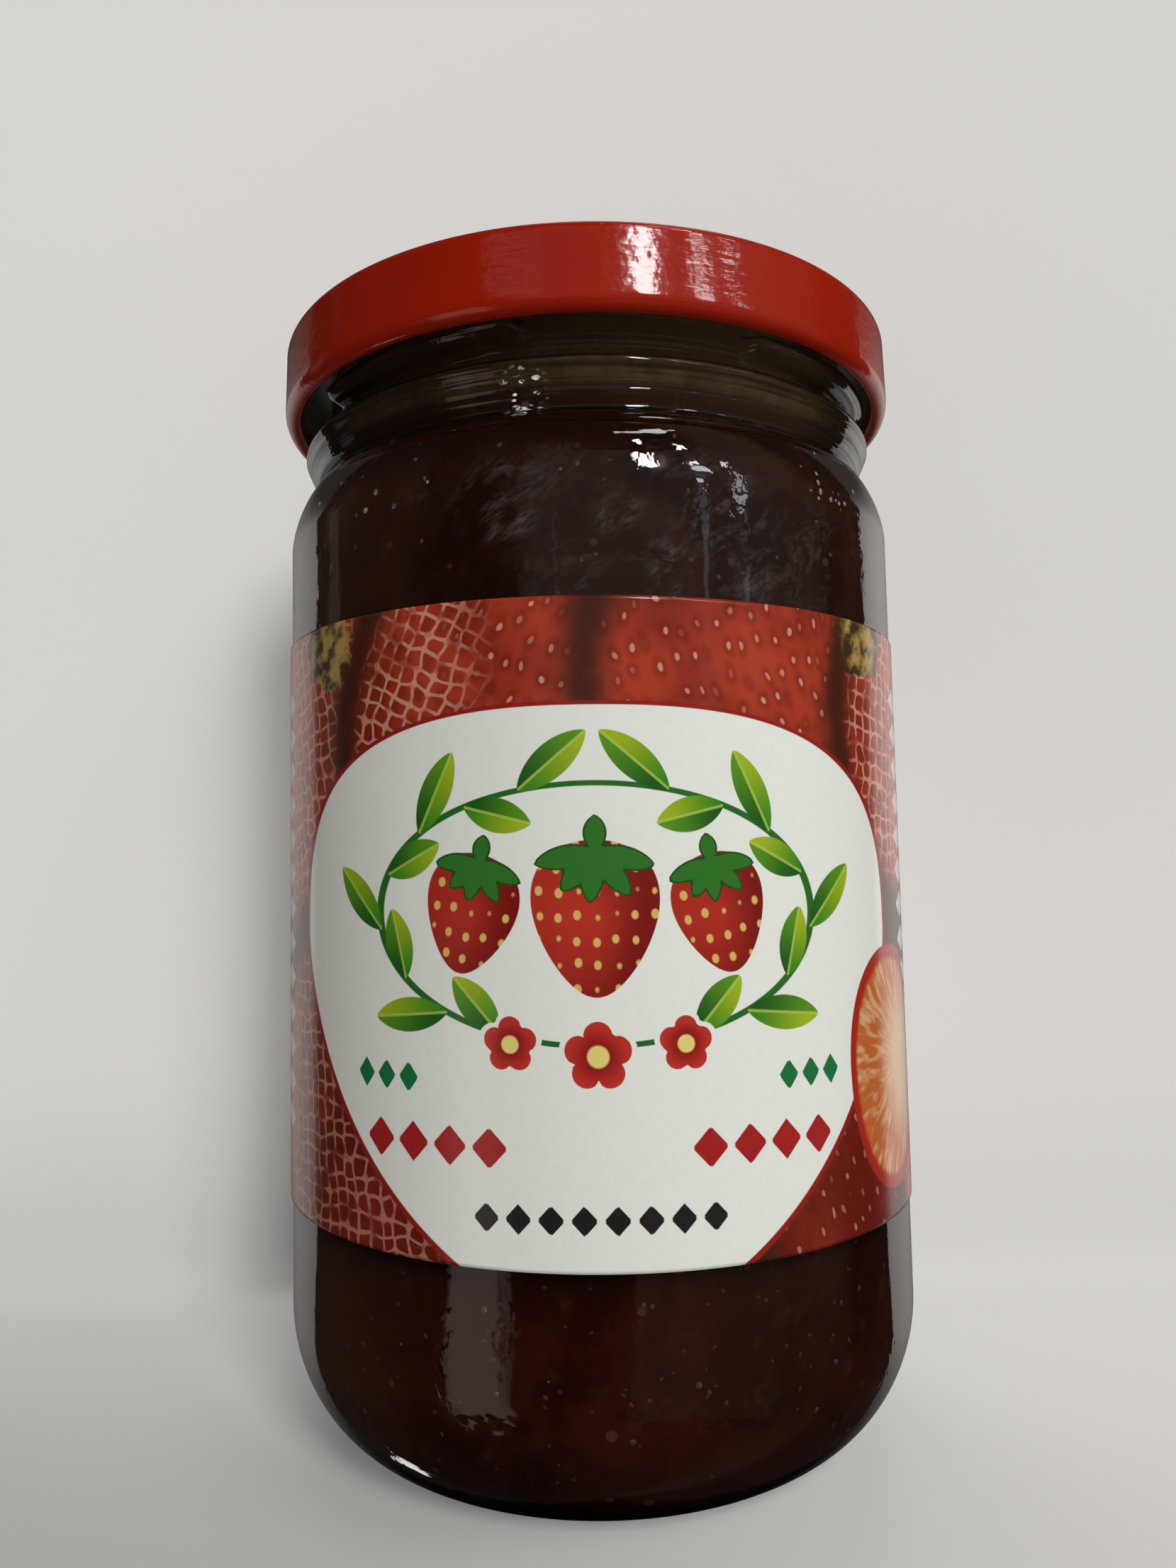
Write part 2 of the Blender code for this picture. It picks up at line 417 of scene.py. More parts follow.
def with_lugs(a, r, h):
    """Each lug stands out by reach * (1 - (u/half)^2)^0.6, u the height from its own sloping line.

    half is the lug's half thickness, which narrows at its tips as 0.5 + 0.5 sin(pi s)^0.5,
    and reach falls to nothing close to them.
    """
    start = np.radians(LUG_FIRST_END)
    share = np.mod(a - start, 2 * np.pi / LUGS) / np.radians(LUG_SPAN)
    inside = np.clip(share, 0.0, 1.0)
    full = np.where(share < 1.0, np.clip(np.sin(np.pi * inside), 0, 1) ** 0.5, 0.0)
    half = LUG_THICKNESS * (0.5 + 0.5 * full)
    line = LUG_HEIGHT + LUG_RISE * inside
    swelling = np.clip(1 - ((h - line) / half) ** 2, 0, 1) ** 0.6
    reach = LUG_REACH * swelling * np.clip(full * 3.0, 0, 1)
    outside = (np.abs(r - NECK_RADIUS) < 1.7) & (h > BEAD_TOP - 0.1) & (h < RIM_HEIGHT - 2.0)
    return np.where(outside, np.maximum(r, NECK_RADIUS + reach), r), h


def glass_material():
    material, tree, shader = finish_material("clear glass", {
        "Transmission Weight": 1.0, "IOR": 1.5, "Emission Strength": 1.0})
    place = object_place(tree)
    _, y, height = parts_of(tree, place)

    # The slow waves and fine ripples that moulded glass has
    waves = noise(tree, place, 55.0, 1.0)
    ripples = noise(tree, stretched(tree, place, (0.45, 0.45, 1.0)), 420.0, Distortion=0.6)
    waves = sums(tree, "ADD", waves, times(tree, ripples, 0.12))
    # Dust and rubbed spots dull it here and there, and scuffs break up what it mirrors
    dull = noise(tree, place, 140.0, 3.0, Roughness=0.7)
    grit = times(tree, noise(tree, place, 1700.0, 1.0), ramp(tree, dull, 0.50, 0.60, 0.0, 0.11))
    # A faint seam of the mould runs up either side, and ring lines lie round the neck
    seam = ramp(tree, sums(tree, "ABSOLUTE", y), 0.0, MOULD_SEAM, 0.16, 0.0)
    uneven = sums(tree, "ADD", waves, sums(tree, "ADD", grit, seam))
    level = node(tree, "CombineXYZ", {"Z": height}).outputs[0]
    rings = sums(tree, "ADD", noise(tree, level, 420.0),
                 noise(tree, stretched(tree, place, (0.02, 0.02, 1.0)), 700.0))
    rings = times(tree, sums(tree, "SUBTRACT", rings, 1.0), ramp(tree, height, NECK_FOOT, 0.1255))
    relief = bumped(tree, rings, 0.9, 0.0009, bumped(tree, uneven, 0.3, 0.0006))

    # The thick bead and neck look darker where they are seen edge on
    facing = node(tree, "LayerWeight", {"Blend": 0.5}).outputs["Facing"]
    thick = times(tree, ramp(tree, facing, 0.30, 0.52), ramp(tree, height, NECK_FOOT, 0.1260))
    # Painted glints: in one place on the bead, left of the middle, small spots glow, standing in
    # for light caught where the bead is chipped
    painted_glints = placed(tree, SPECKLE, {"Place": stretched(tree, place, (0.7, 0.7, 1.3)),
                                   "Scale": 1500.0, "Size": 0.50, "Share": 0.60})["Mask"]
    painted_glints = times(tree, painted_glints, ramp(tree, noise(tree, place, 2600.0), 0.38, 0.54),
                  ramp(tree, apart_from(tree, place, PAINTED_GLINT_PLACE), *PAINTED_GLINT_REACH))
    feed(tree, shader, {
        "Base Color": blended(tree, thick, (0.95, 0.97, 0.96), (0.10, 0.10, 0.088)),
        "Emission Color": blended(tree, painted_glints, (0, 0, 0), (0.62, 0.60, 0.55)),
        "Roughness": ramp(tree, dull, 0.56, 0.80, 0.0, 0.10),
        "Normal": relief})
    return material


def make_glass():
    glass = turned("glass_jar_clear", glass_outline()[::-1], even_angles(GLASS_COLUMNS),
                   swell=with_lugs)
    glass.data.flip_normals()
    glass.data.materials.append(glass_material())
    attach(glass, "root")
    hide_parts("glass_jar")


# Jam

def jam_outline():
    """The fill from the middle of its surface to its foot, its sides just into the glass wall."""
    side = BODY_RADIUS - WALL + INTO_WALL
    neck = NECK_BORE + INTO_WALL
    foot = PUSH_UP_HEIGHT + FLOOR_THICKNESS - JAM_HEEL_SINK
    return joined(
        [(0.0, JAM_LEVEL)], straight((8.0, JAM_LEVEL), (neck - JAM_EDGE_WIDTH, JAM_LEVEL), 5),
        [(neck - 0.8, JAM_LEVEL + 0.35 * JAM_EDGE_CLIMB), (neck, JAM_LEVEL + JAM_EDGE_CLIMB)],
        quarter((neck, INNER_SHOULDER_FOOT), side - neck,
                INNER_SHOULDER_TOP - INNER_SHOULDER_FOOT + INTO_WALL, 14,
                exponent=INNER_SHOULDER_EXPONENT),
        straight((side, 105.0), (side, 30.0), 6),
        quarter((side - JAM_HEEL_WIDTH, foot + JAM_HEEL_HEIGHT), JAM_HEEL_WIDTH, JAM_HEEL_HEIGHT,
                18, start=0, end=-90, exponent=JAM_HEEL_EXPONENT),
        [(8.0, foot), (0.0, foot)])


def painted_smear_sheen(tree, place, x, height):
    """Pale slanting strokes above the label where the glass is smeared: partly the smears, partly a
    painted sheen of the light they scatter, laid on the jam.
    """
    slanting = {"Vector": place, "Rotation": (0.0, -0.55, 0.0)}
    along = node(tree, "Mapping", {**slanting, "Location": (0.021, 0.0, -0.013),
                                   "Scale": (2.6, 1.0, 1.0)}, vector_type="TEXTURE").outputs[0]
    strokes = noise(tree, along, 330.0, 4.0, Roughness=0.72, Distortion=0.7)
    thick = ramp(tree, noise(tree, place, 48.0, 1.0), 0.46, 0.66, 0.0, 0.85)
    for middle, reach in SMEAR_SHEEN_PLACES:
        spot = ramp(tree, apart_from(tree, place, middle), reach, 0.25 * reach)
        thick = sums(tree, "MAXIMUM", thick, spot)
    strokes = sums(tree, "ADD", strokes, times(tree, thick, 0.07))
    fine = node(tree, "Mapping", {**slanting, "Scale": (5.0, 1.0, 1.0)}, vector_type="TEXTURE")
    hatched = noise(tree, fine.outputs[0], 2200.0)
    return times(
        tree, ramp(tree, strokes, 0.47, 0.72), thick,
        ramp(tree, height, 0.101, 0.105), ramp(tree, height, 0.122, 0.114),
        ramp(tree, x, -0.035, 0.005, 0.35, 1.0), ramp(tree, x, 0.012, 0.022, 1.0, 0.45),
        ramp(tree, hatched, 0.36, 0.60, 0.25, 1.0), 0.95)


def jam_material():
    material, tree, shader = finish_material("dark red jam", {
        "Roughness": 0.6, "Specular IOR Level": 0.0, "Emission Strength": 1.0})
    place = object_place(tree)
    x, _, height = parts_of(tree, place)
    lumps = noise(tree, place, 70.0, 4.0, Roughness=0.6, Distortion=0.8)
    fibres = noise(tree, place, 320.0, 4.0)
    # Lower down the jam is redder: a painted red glow, standing in for light that comes through the
    # lower jam
    lower = graded(tree, lumps, 0.38, 0.66, (0.026, 0.0026, 0.0010), (0.050, 0.0090, 0.0036))
    upper = graded(tree, lumps, 0.38, 0.66, (0.019, 0.0048, 0.0024), (0.043, 0.0130, 0.0066))
    body = graded(tree, height, 0.060, 0.095, lower, upper)
    # Towards its left side it is paler and browner
    body = blended(tree, ramp(tree, x, -0.016, -0.036, 0.0, 0.75), body, (0.095, 0.036, 0.017))
    # and darker on its right, below the label
    low_right = times(tree, ramp(tree, x, 0.0, 0.022, 0.0, 0.5), ramp(tree, height, 0.095, 0.060))
    body = blended(tree, low_right, body, (0.016, 0.0012, 0.0005))
    # Under the shoulder it is darker. In the neck it is olive brown and far paler than the body, a
    # painted lift of light where the lid shades it
    body = graded(tree, height, 0.117, 0.123, body, (0.014, 0.0040, 0.0022))
    olive_painted_lift = graded(tree, fibres, 0.35, 0.65, (0.20, 0.115, 0.045), (0.34, 0.23, 0.11))
    body = graded(tree, height, 0.1290, 0.1320, body, olive_painted_lift)
    body = blended(tree, ramp(tree, fibres, 0.58, 0.75, 0.0, 0.35), body, (0.075, 0.028, 0.014))
    # Smears on the glass with their painted sheen, laid on the jam
    body = blended(tree, painted_smear_sheen(tree, place, x, height), body, (0.14, 0.12, 0.11))
    seeds = placed(tree, SPECKLE, {"Place": place, "Scale": 260.0, "Size": 0.16, "Share": 0.22})
    body = blended(tree, times(tree, seeds["Mask"], 0.5), body, (0.16, 0.075, 0.045))
    # Light that soaks up through the jam shows faintly in the neck, where the lid shades it
    soaked = graded(tree, x, -0.02, 0.025, (0.0035, 0.0016, 0.0007), (0.0125, 0.0078, 0.0036))
    soaked = graded(tree, height, 0.1235, 0.1300, (0, 0, 0), soaked)
    feed(tree, shader, {"Base Color": body, "Emission Color": soaked})
    return material


def make_jam():
    jam = turned("jam_fill", jam_outline(), even_angles(JAM_COLUMNS))
    jam.data.materials.append(jam_material())
    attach(jam, "root")
    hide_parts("jam")


def side_radius(height):
    """The radius of the jam's side at a height, read off its outline."""
    outline = jam_outline()
    side = outline[outline[:, 0] > 20.0][::-1]
    order = np.argsort(side[:, 1], kind="stable")
    return np.interp(height, side[order, 1], side[order, 0])


def scattered(name, azimuth, height, sizes, tilt, sunk, rows=5, columns=8):
    """Small ellipsoids on the jam's side, joined in one mesh.

    Each is p = c + a cos(f) cos(t) e1 + b cos(f) sin(t) e2 + d sin(f) e3, with e3 pointing
    out of the jam, e1 and e2 turned by tilt round it, and its middle sunk by a share of d.
    """
    f = np.radians(np.linspace(-90, 90, rows))[1:-1]
    t = np.radians(even_angles(columns))
    ball = np.stack([np.outer(np.cos(f), np.cos(t)), np.outer(np.cos(f), np.sin(t)),
                     np.outer(np.sin(f), np.ones(columns))], -1).reshape(-1, 3)
    ball = np.concatenate([ball, [[0, 0, -1], [0, 0, 1]]])
    i, j = np.arange(rows - 3)[:, None], np.arange(columns)[None, :]
    beside = (j + 1) % columns
    quads = np.stack([i * columns + j, i * columns + beside, (i + 1) * columns + beside,
                      (i + 1) * columns + j], -1).reshape(-1, 4)
    last, ends = (rows - 3) * columns, len(ball) - 2
    j, beside = j.ravel(), beside.ravel()
    caps = np.concatenate([np.stack([np.full(columns, ends), beside, j], 1),
                           np.stack([np.full(columns, ends + 1), last + j, last + beside], 1)])
    a = np.radians(azimuth)[:, None]
    zero = np.zeros_like(a)
    out = np.concatenate([np.sin(a), -np.cos(a), zero], 1)
    right = np.concatenate([np.cos(a), np.sin(a), zero], 1)
    up = np.broadcast_to([0.0, 0.0, 1.0], out.shape)
    c, s = np.cos(np.radians(tilt))[:, None], np.sin(np.radians(tilt))[:, None]
    first, second = right * c + up * s, up * c - right * s
    radius = side_radius(height)[:, None] - sunk * sizes[:, 2:]
    middle = out * radius + up * height[:, None]
    points = middle[:, None] + sum(
        ball[None, :, k, None] * (sizes[:, k, None] * axis)[:, None]
        for k, axis in enumerate((first, second, out)))
    offsets = (np.arange(len(azimuth)) * len(ball))[:, None, None]
    faces = [(corners[None] + offsets).reshape(-1, corners.shape[1]).tolist()
             for corners in (quads, caps)]
    piece = added(name, points, faces[0] + faces[1])
    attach(piece, "root")
    return piece


def bits_material(name, first, second, roughness, glint):
    material, tree, shader = finish_material(name, {
        "Specular IOR Level": 0.3, "Emission Strength": 1.0})
    place = object_place(tree)
    _, _, height = parts_of(tree, place)
    lot = noise(tree, place, 900.0, 1.0)
    shade = graded(tree, lot, 0.35, 0.65, first, second)
    # Below the label their colour fades towards the jam's dark red
    shade = blended(tree, ramp(tree, height, 0.090, 0.098, 0.88, 0.0), shade,
                    (0.045, 0.017, 0.008))
    # and in the neck some catch the light
    caught = times(tree, ramp(tree, lot, 0.44, 0.58), ramp(tree, height, 0.122, 0.126))
    feed(tree, shader, {
        "Base Color": shade, "Emission Color": blended(tree, caught, (0, 0, 0), glint),
        "Roughness": ramp(tree, lot, 0.3, 0.7, roughness, roughness + 0.2)})
    return material


# Seeds between two heights, and how many. Bubbles lie in clusters: azimuth and height of the
# middle, the spread of each, and how many
SEED_BANDS = ((8.0, 31.0, 260), (31.0, 102.0, 90), (102.0, 137.0, 170))
BUBBLE_CLUSTERS = (
    (24.0, 129.6, 2.5, 0.6, 6), (47.0, 118.8, 3.2, 2.0, 16), (-38.0, 119.0, 8.0, 3.0, 7),
    (95.0, 128.0, 9.0, 1.5, 14), (160.0, 122.0, 14.0, 4.0, 22), (-120.0, 127.0, 12.0, 2.5, 20),
    (10.0, 19.0, 40.0, 5.0, 18), (190.0, 16.0, 50.0, 6.0, 18))


def make_seeds_and_bubbles():
    draw = np.random.default_rng(5)
    height = np.concatenate([draw.uniform(low, high, count) for low, high, count in SEED_BANDS])
    count = len(height)
    long_half = draw.uniform(0.22, 0.46, count)
    sizes = np.stack([long_half, long_half * draw.uniform(0.55, 0.8, count), long_half * 0.45], 1)
    seeds = scattered("jam_seeds", draw.uniform(0, 360, count), height, sizes,
                      draw.uniform(0, 180, count), 0.55)
    seeds.data.materials.append(bits_material(
        "seed skin", (0.06, 0.020, 0.007), (0.17, 0.080, 0.035), 0.45, (0.012, 0.008, 0.005)))

    azimuth = np.concatenate([draw.normal(a, wide, n) for a, _, wide, _, n in BUBBLE_CLUSTERS])
    height = np.concatenate([draw.normal(h, high, n) for _, h, _, high, n in BUBBLE_CLUSTERS])
    count = len(height)
    radius = draw.uniform(0.16, 0.42, count)
    sizes = np.stack([radius, radius * draw.uniform(0.8, 1.0, count), radius * 0.5], 1)
    bubbles = scattered("jam_bubbles", azimuth, np.clip(height, 9.0, 137.5), sizes,
                        draw.uniform(0, 180, count), 0.3, rows=7, columns=12)
    bubbles.data.materials.append(bits_material(
        "trapped air", (0.16, 0.12, 0.09), (0.60, 0.55, 0.48), 0.32, (0.13, 0.117, 0.095)))


# Lid

def lid_outline():
    """The lid from the middle of its top, down the skirt, round the curl and back underneath.

    Also gives how many of its points lie on the outside.
    """
    panel = LID_TOP - PANEL_DROP
    ridge_inner = LID_RADIUS - RIDGE_WIDTH
    curl = (LID_FOOT_RADIUS - CURL_HALF_WIDTH, LID_FOOT + CURL_HALF_HEIGHT)
    inner = LID_RADIUS - LID_SHEET
    button = panel - BUTTON_DROP
    top = rounded(np.array([
        (0.0, button), (BUTTON_RADIUS - BUTTON_SLOPE - 3.0, button),
        (BUTTON_RADIUS - BUTTON_SLOPE, button), (BUTTON_RADIUS, panel),
        (BUTTON_RADIUS + 4.0, panel),
        (ridge_inner - RIDGE_SLOPE - 4.0, panel), (ridge_inner - RIDGE_SLOPE - 0.3, panel),
        (ridge_inner - 0.2, LID_TOP), (ridge_inner + 1.2, LID_TOP),
        (LID_RADIUS - LID_CORNER, LID_TOP)]), 3)
    corner = quarter((LID_RADIUS - LID_CORNER, LID_TOP - LID_CORNER), LID_CORNER, LID_CORNER, 12)
    roll = quarter(curl, CURL_HALF_WIDTH, CURL_HALF_HEIGHT, 30, start=0, end=-200)
    skirt = straight((LID_RADIUS, LID_TOP - LID_CORNER - 0.5), roll[0] + (0, 0.4), 14)
    inside = joined(rounded(np.array([
        roll[-1], (curl[0] - CURL_HALF_WIDTH * 0.6, curl[1] + CURL_HALF_HEIGHT * 1.1),
        (inner, curl[1] + CURL_HALF_HEIGHT * 1.5), (inner, LID_UNDERSIDE - 2.0),
        (inner, LID_UNDERSIDE), (inner - 2.0, LID_UNDERSIDE)]), 2), [(10.0, LID_UNDERSIDE),
                                                                    (0.0, LID_UNDERSIDE)])
    outside = joined(top, corner, skirt, roll)
    return joined(outside, inside), len(outside)


def lacquer_material():
    material, tree, shader = finish_material("red lacquer", {
        "Metallic": 0.0, "Specular IOR Level": 0.5, "Roughness": 0.11})
    place = object_place(tree)
    red = graded(tree, noise(tree, place, 35.0, 3.0), 0.3, 0.7, (0.295, 0.0105, 0.0016),
                 (0.335, 0.0135, 0.0024))
    specks = placed(tree, SPECKLE, {"Place": place, "Scale": 75.0, "Size": 0.035, "Share": 0.12})
    # Fine creases lie along the skirt, from the sheet's draw over the edge
    creases = noise(tree, stretched(tree, place, (0.16, 0.16, 1.0)), 1500.0)
    peel = bumped(tree, noise(tree, place, 620.0), 0.5, 0.0001)
    feed(tree, shader, {
        "Base Color": blended(tree, specks["Mask"], red, (0.03, 0.006, 0.004)),
        "Normal": bumped(tree, creases, 0.6, 0.00006, peel)})
    return material


def lining_material():
    material, tree, shader = finish_material("pale inner lacquer", {
        "Metallic": 0.0, "Specular IOR Level": 0.5})
    cloud = noise(tree, object_place(tree), 120.0, 4.0)
    feed(tree, shader, {
        "Base Color": blended(tree, cloud, (0.42, 0.41, 0.38), (0.55, 0.54, 0.50)),
        "Roughness": ramp(tree, cloud, 0.3, 0.7, 0.3, 0.45)})
    return material


def make_lid():
    outline, outer_rows = lid_outline()
    lid = turned("lid_red", outline, even_angles(LID_COLUMNS))
    lid.data.materials.append(lacquer_material())
    lid.data.materials.append(lining_material())
    # The rings of faces inside wear the lining, and so does the fan that closes them
    rings = len(outline) - 3
    index = np.zeros(len(lid.data.polygons), np.int32)
    index[(outer_rows - 1) * LID_COLUMNS:rings * LID_COLUMNS] = 1
    index[-LID_COLUMNS:] = 1
    lid.data.polygons.foreach_set("material_index", index)
    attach(lid, "root")
    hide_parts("lid")


# Label: a sheet whose print is worked out in millimetres along it (u, 0 in front) and up it (v)

PANEL_MIDDLE, PANEL_HALF = (0.0, 35.0), (41.5, 25.0)
PANEL_REACH_DOWN = 41.0
WREATH_MIDDLE, WREATH_HALF = (0.0, 37.5), (26.0, 14.0)
WREATH_LEAVES, WREATH_LEAF_WIDTH = 8, 1.9
BERRIES = (((0.0, 37.0), 8.4, 0.0), ((-14.0, 37.5), 6.6, -12.0), ((14.0, 37.5), 6.6, 12.0))
BLOSSOMS = ((-9.5, 23.6, 3.0), (0.0, 22.4, 3.7), (9.5, 23.6, 3.0))
CUT_MIDDLE, CUT_HALF, CUT_TILT, CUT_HEART = (43.5, 18.0), (11.0, 14.5), 6.0, 4.0
# Rows of lozenges: the first one's middle, how many, their pitch, half width and half height
GREEN_ROW = ((22.0, 19.5), 3, 3.2, 1.35, 1.7)
RED_ROW = ((12.0, 12.6), 4, 4.7, 2.1, 2.2)
BLACK_ROW = ((-12.4, 5.4), 8, 3.54, 1.5, 1.6)
PALE_COLUMN = ((11.0, 51.5), 13, 4.4, 1.8, 3.4)
# Plain panels on either side, and the lines on them
SIDE_PANEL_MIDDLE, SIDE_PANEL_HALF = (100.0, 36.0), (21.0, 29.0)
LINE_PITCH, LINES_EACH_WAY, LINE_HALF_WIDTH, LINE_HALF_LENGTH = 3.4, 6, 0.45, 15.5
# A cap's leaves: turn from the fruit's axis, and length as a share of its half height
CAP_LEAVES = ((-168, 0.78), (-130, 0.66), (-96, 0.66), (-52, 0.72), (-14, 0.78), (88, 0.45))
# Fruits of the ground: where each row starts and ends, and its pitch; half heights, most
# tilt, width as a share of height, and which one has a net on its left part alone
UPPER_FRUITS = (-108.0, 134.0, 32.0)
LOWER_FRUITS = (-132.0, 150.0, 33.0)
FRUIT_HALF, FRUIT_TILT, FRUIT_SHAPE = (23, 26), 40, 0.84
HALF_NETTED = 3
GOLD_PATCHES = ((-36.0, 69.0, 6.0), (38.0, 70.0, 5.5), (78.0, 68.0, 6.0), (-84.0, 66.0, 6.5),
                (120.0, 70.0, 6.0))


def turned_axes(u, v, middle, tilt):
    """Coordinates from the middle, turned by tilt degrees."""
    c, s = np.cos(np.radians(tilt)), np.sin(np.radians(tilt))
    return (u - middle[0]) * c + (v - middle[1]) * s, (v - middle[1]) * c - (u - middle[0]) * s


def superellipse(u, v, middle, half, power):
    """About the distance outside |x/a|^n + |y/b|^n = 1, less than 0 inside."""
    x, y = np.abs(u - middle[0]) / half[0], np.abs(v - middle[1]) / half[1]
    return ((x ** power + y ** power) ** (1 / power) - 1) * np.minimum(half[0], half[1])


def leaf(u, v, foot, length, tilt, width):
    """|across| - width (4 s (1 - s))^0.8 plus the way past an end, for s from 0 to 1 along it.

    Gives this distance, s and the signed way across.
    """
    along, across = turned_axes(u, v, foot, tilt)
    s = np.clip(along / length, 0.0, 1.0)
    edge = np.abs(across) - width * (4 * s * (1 - s)) ** 0.8
    return edge + np.abs(along - s * length), s, across


def fruit(u, v, middle, half, tilt):
    """An ellipse whose half width is 0.8 (1 + 0.3 y) of its half height, y from -1 to 1 up it."""
    x, y = turned_axes(u, v, middle, tilt)
    taper = 0.8 * (1 + 0.3 * np.clip(y / half, -1.2, 1.0))
    return (np.hypot(x / half / taper, y / half) - 1) * half * 0.85, x, y


def lozenges(u, v, first, count, pitch, half_wide, half_high):
    """A row of count lozenges, |x|/a + |y|/b = 1, from the first middle towards the right."""
    which = np.clip(np.round((u - first[0]) / pitch), 0, count - 1)
    x, y = np.abs(u - first[0] - which * pitch), np.abs(v - first[1])
    return (x / half_wide + y / half_high - 1) * half_high * 0.7


def nearest(runs):
    """Of several runs of (distance, more values), takes each place's values from the nearest."""
    best = runs[0]
    for run in runs[1:]:
        nearer = run[0] < best[0]
        best = [np.where(nearer, new, old) for new, old in zip(run, best)]
    return best


def print_layers(u, v):
    """Every layer of the print as a field of distances, and the fields that shade it."""
    lower = v < PANEL_MIDDLE[1]
    upper_edge = superellipse(u, v, PANEL_MIDDLE, PANEL_HALF, 2.6)
    lower_edge = superellipse(u, v, PANEL_MIDDLE, (PANEL_HALF[0], PANEL_REACH_DOWN), 1.55)
    panel = np.where(lower, lower_edge * PANEL_HALF[1] / PANEL_HALF[0], upper_edge)
    for side in (-1, 1):
        middle = (side * SIDE_PANEL_MIDDLE[0], SIDE_PANEL_MIDDLE[1])
        panel = np.minimum(panel, superellipse(u, v, middle, SIDE_PANEL_HALF, 6.0))

    # The leaves stand an even way apart along each half of the wreath
    t = np.linspace(0.0, np.pi, 400)
    way_along = np.cumsum(np.hypot(WREATH_HALF[0] * np.cos(t), WREATH_HALF[1] * np.sin(t)))
    places = np.interp(np.linspace(0.17, 0.87, WREATH_LEAVES) * way_along[-1], way_along, t)
    leaves = []
    for k, t in enumerate(np.concatenate([places, 2 * np.pi - places])):
        foot = (WREATH_MIDDLE[0] + WREATH_HALF[0] * np.sin(t),
                WREATH_MIDDLE[1] - WREATH_HALF[1] * np.cos(t))
        way = np.degrees(np.arctan2(WREATH_HALF[1] * abs(np.sin(t)),
                                    WREATH_HALF[0] * np.cos(t)))
        outward = -30 if k % 2 else 34
        tilt = way + outward
        if np.sin(t) < 0:
            tilt = 180 - tilt
        leaves.append(leaf(u, v, foot, 10.0 if k % 2 else 8.0, tilt, WREATH_LEAF_WIDTH))
    leaf_edge, leaf_along, leaf_across = nearest(leaves)
    ring = np.hypot((u - WREATH_MIDDLE[0]) / WREATH_HALF[0],
                    (v - WREATH_MIDDLE[1]) / WREATH_HALF[1])

    berries = nearest([fruit(u, v, *berry) for berry in BERRIES])
    caps = []
    for middle, half, tilt in BERRIES:
        s, c = np.sin(np.radians(tilt)), np.cos(np.radians(tilt))
        neck = (middle[0] - half * 0.86 * s, middle[1] + half * 0.86 * c)
        caps += [leaf(u, v, neck, half * length, tilt + turn, half * 0.13)
                 for turn, length in CAP_LEAVES]
    blossoms = []
    for middle_u, middle_v, reach in BLOSSOMS:
        x, y = turned_axes(u, v, (middle_u, middle_v), 90)
        away = np.hypot(x, y)
        petals = 0.66 + 0.34 * np.abs(np.cos(2.5 * np.arctan2(y, x))) ** 0.6
        blossoms.append((away - reach * petals, away / reach))
    blossom_edge, blossom_away = nearest(blossoms)

    sides = np.abs(u)
    from_middle = v - SIDE_PANEL_MIDDLE[1]
    line = np.clip(np.round(from_middle / LINE_PITCH), -LINES_EACH_WAY, LINES_EACH_WAY)
    lines = np.maximum(np.abs(from_middle - LINE_PITCH * line) - LINE_HALF_WIDTH,
                       np.abs(sides - SIDE_PANEL_MIDDLE[0]) - LINE_HALF_LENGTH)
    cut_x, cut_y = turned_axes(u, v, CUT_MIDDLE, CUT_TILT)
    cut_edge = superellipse(cut_x, cut_y, (0.0, 0.0), CUT_HALF, 2.2)
    ray_x, ray_y = (cut_x - CUT_HEART) / CUT_HALF[0], cut_y / CUT_HALF[1]
    cut_place = np.stack([np.arctan2(ray_y, ray_x) * 13.0, np.hypot(ray_x, ray_y) * 3.0,
                          cut_x * 0.05], -1)
    gold = nearest([(np.hypot(u - a, v - b) - size,) for a, b, size in GOLD_PATCHES])[0]
    return {"panel": panel, "stem": (ring - 1) * 16.0, "leaf": leaf_edge, "leaf_along": leaf_along,
            "leaf_across": leaf_across, "berry": berries[0], "berry_x": berries[1],
            "berry_y": berries[2], "cap": nearest(caps)[0], "blossom": blossom_edge,
            "blossom_away": blossom_away, "mark_green": lozenges(sides, v, *GREEN_ROW),
            "mark_red": lozenges(sides, v, *RED_ROW),
            "mark_black": np.minimum(lozenges(u, v, *BLACK_ROW), lines),
            "mark_pale": lozenges(v, sides, *PALE_COLUMN), "cut_fruit": cut_edge,
            "cut_place": cut_place, "gold": gold, "print_height": v, "print_side": sides}


def fruit_field(u, v):
    """The red ground: big overlapping fruits, each (u, v) taking the last one that covers it.

    Gives its place on that fruit, the way to the nearest edge seen, whether a net or dashes
    mark the skin, and how far it lies outside every fruit.
    """
    draw = np.random.default_rng(23)
    place = np.stack([u, v, np.zeros_like(u)], axis=-1)
    gap = np.full(u.shape, 40.0)
    bare = np.full(u.shape, 40.0)
    netted = np.zeros(u.shape)
    middles = [(c, 56 + 5 * np.sin(c)) for c in np.arange(*UPPER_FRUITS)]
    middles += [(c, 13 + 4 * np.cos(c)) for c in np.arange(*LOWER_FRUITS)]
    for index, (middle_u, middle_v) in enumerate(middles):
        tilt = draw.uniform(-FRUIT_TILT, FRUIT_TILT)
        half = draw.uniform(*FRUIT_HALF)
        x, y = turned_axes(u, v, (middle_u, middle_v), tilt)
        away = (np.hypot(x / (FRUIT_SHAPE * half), y / half) - 1) * FRUIT_SHAPE * half
        inside = away < 0
        place[inside] = np.stack([x, y, np.full(x.shape, 13.0 * index)], -1)[inside]
        gap = np.where(inside, -away, np.minimum(gap, away))
        bare = np.minimum(bare, away)
        net = index % 3 == 2
        if index == HALF_NETTED:
            net = np.clip(0.5 - (u - middle_u + 2.0) / 7.0, 0, 1)
        netted = np.where(inside, net, netted)
    return {"skin_place": place, "skin_gap": gap, "skin_netted": netted, "skin_bare": bare}


